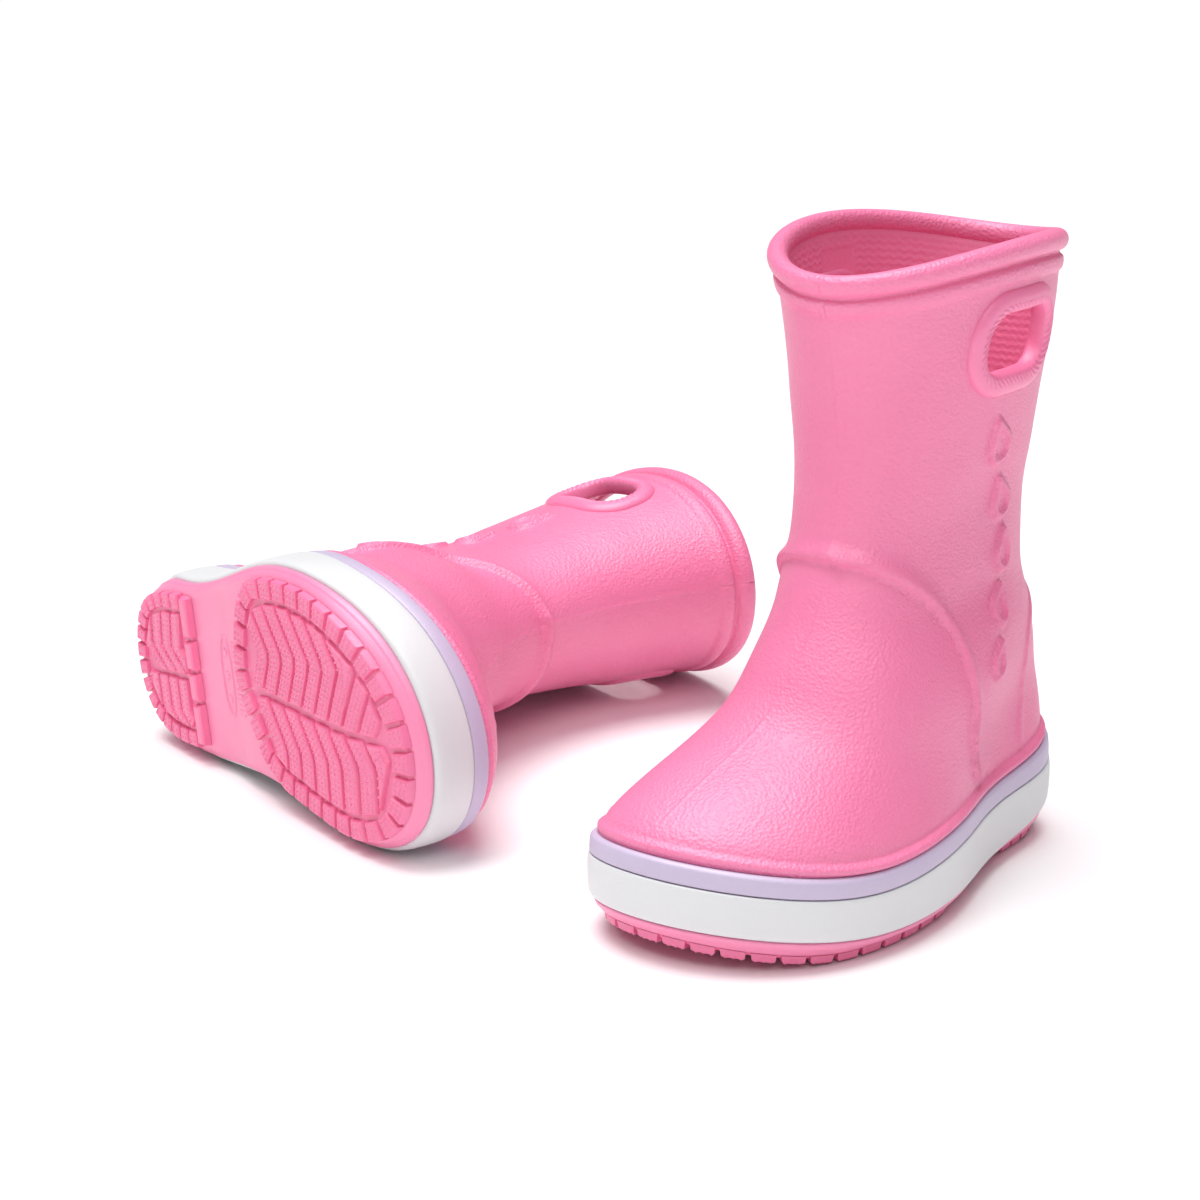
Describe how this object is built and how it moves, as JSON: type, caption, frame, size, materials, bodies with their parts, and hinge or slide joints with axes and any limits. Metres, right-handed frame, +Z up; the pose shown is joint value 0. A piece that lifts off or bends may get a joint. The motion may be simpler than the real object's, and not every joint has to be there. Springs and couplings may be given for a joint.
{
  "type": "pair of children's rain boots",
  "caption": "Pair of pull-on moulded foam rain boots with grip slots in the shaft, one standing and one lying on its side.",
  "frame": {"origin": "centre of the pair's box, on the ground", "axes": "+Z up; the left boot's toe points along -Y and its outer side along +X"},
  "size_m": [0.337, 0.2564, 0.212],
  "materials": {
    "upper_foam": "pink moulded foam, satin, fine leather-like grain",
    "inner_foam": "pink foam, matt",
    "white_band": "white foam, smooth satin",
    "lavender_stripe": "lavender foam, smooth satin",
    "outsole_foam": "deeper pink foam, satin",
    "tread_foam": "deeper pink foam, moulded tread"
  },
  "bodies": {
    "left_boot": {"left_upper": "upper_foam", "left_midsole_core": "inner_foam", "left_midsole_band": "white_band", "left_accent_stripe": "lavender_stripe", "left_outsole": "outsole_foam", "left_heel_tread": "tread_foam", "left_forefoot_tread": "tread_foam", "left_insole": "inner_foam"},
    "right_boot": {"right_upper": "upper_foam", "right_midsole_core": "inner_foam", "right_midsole_band": "white_band", "right_accent_stripe": "lavender_stripe", "right_outsole": "outsole_foam", "right_heel_tread": "tread_foam", "right_forefoot_tread": "tread_foam", "right_insole": "inner_foam"}
  },
  "joints": [
    {"name": "right_boot_lift", "type": "slide", "parent": "left_boot", "child": "right_boot", "axis": [0, 0, 1], "range_m": [0, 0.3]}
  ]
}
